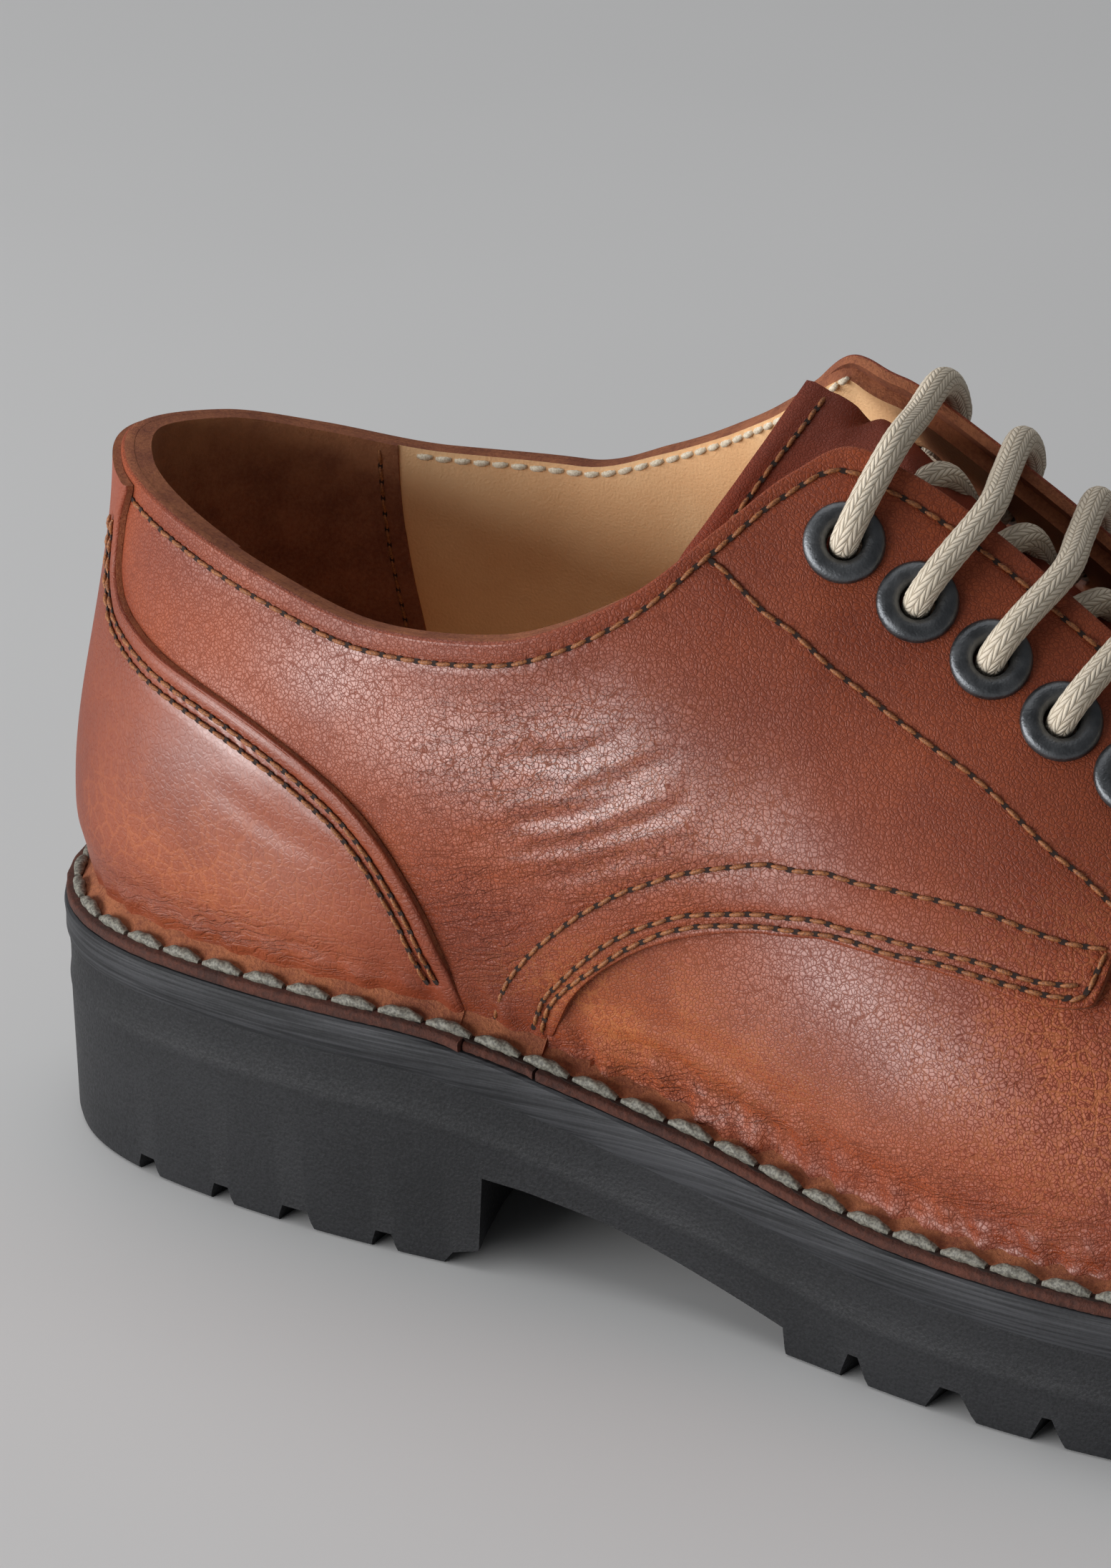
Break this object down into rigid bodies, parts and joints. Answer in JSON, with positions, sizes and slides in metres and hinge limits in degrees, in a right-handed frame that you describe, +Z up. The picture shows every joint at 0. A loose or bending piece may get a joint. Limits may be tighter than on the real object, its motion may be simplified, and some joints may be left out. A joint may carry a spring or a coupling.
{
  "type": "postman shoe",
  "caption": "Right derby shoe of brown leather with stitched-down flange, heel counter, bar lacing through metal eyelets and a black lugged rubber sole; stands on its tread, open at the collar.",
  "frame": {"origin": "middle of the sole's outline, on the floor", "axes": "+X from heel to toe, +Y to the inner (medial) side, +Z up"},
  "size_m": [0.268, 0.1001, 0.1144],
  "materials": {
    "brown_leather": "reddish cognac grain leather with a soft sheen",
    "counter_leather": "the same leather, a little more orange",
    "tongue_leather": "the same leather, smoother and darker",
    "natural_leather": "undyed tan lining leather, matt",
    "black_rubber": "matt black micro-cellular rubber",
    "gunmetal": "dark gunmetal coating, satin",
    "ecru_cotton": "braided round cotton, matt"
  },
  "bodies": {
    "root": {"upper": "brown_leather", "quarter_lateral": "brown_leather", "quarter_medial": "brown_leather", "heel_counter": "counter_leather", "tongue": "tongue_leather", "insole": "natural_leather", "midsole": "black_rubber", "outsole": "black_rubber", "eyelet_lateral_1": "gunmetal", "eyelet_lateral_2": "gunmetal", "eyelet_lateral_3": "gunmetal", "eyelet_lateral_4": "gunmetal", "eyelet_lateral_5": "gunmetal", "eyelet_medial_1": "gunmetal", "eyelet_medial_2": "gunmetal", "eyelet_medial_3": "gunmetal", "eyelet_medial_4": "gunmetal", "eyelet_medial_5": "gunmetal", "lace_bar_1": "ecru_cotton", "lace_bar_2": "ecru_cotton", "lace_bar_3": "ecru_cotton", "lace_bar_4": "ecru_cotton", "lace_bar_5": "ecru_cotton"}
  },
  "joints": []
}
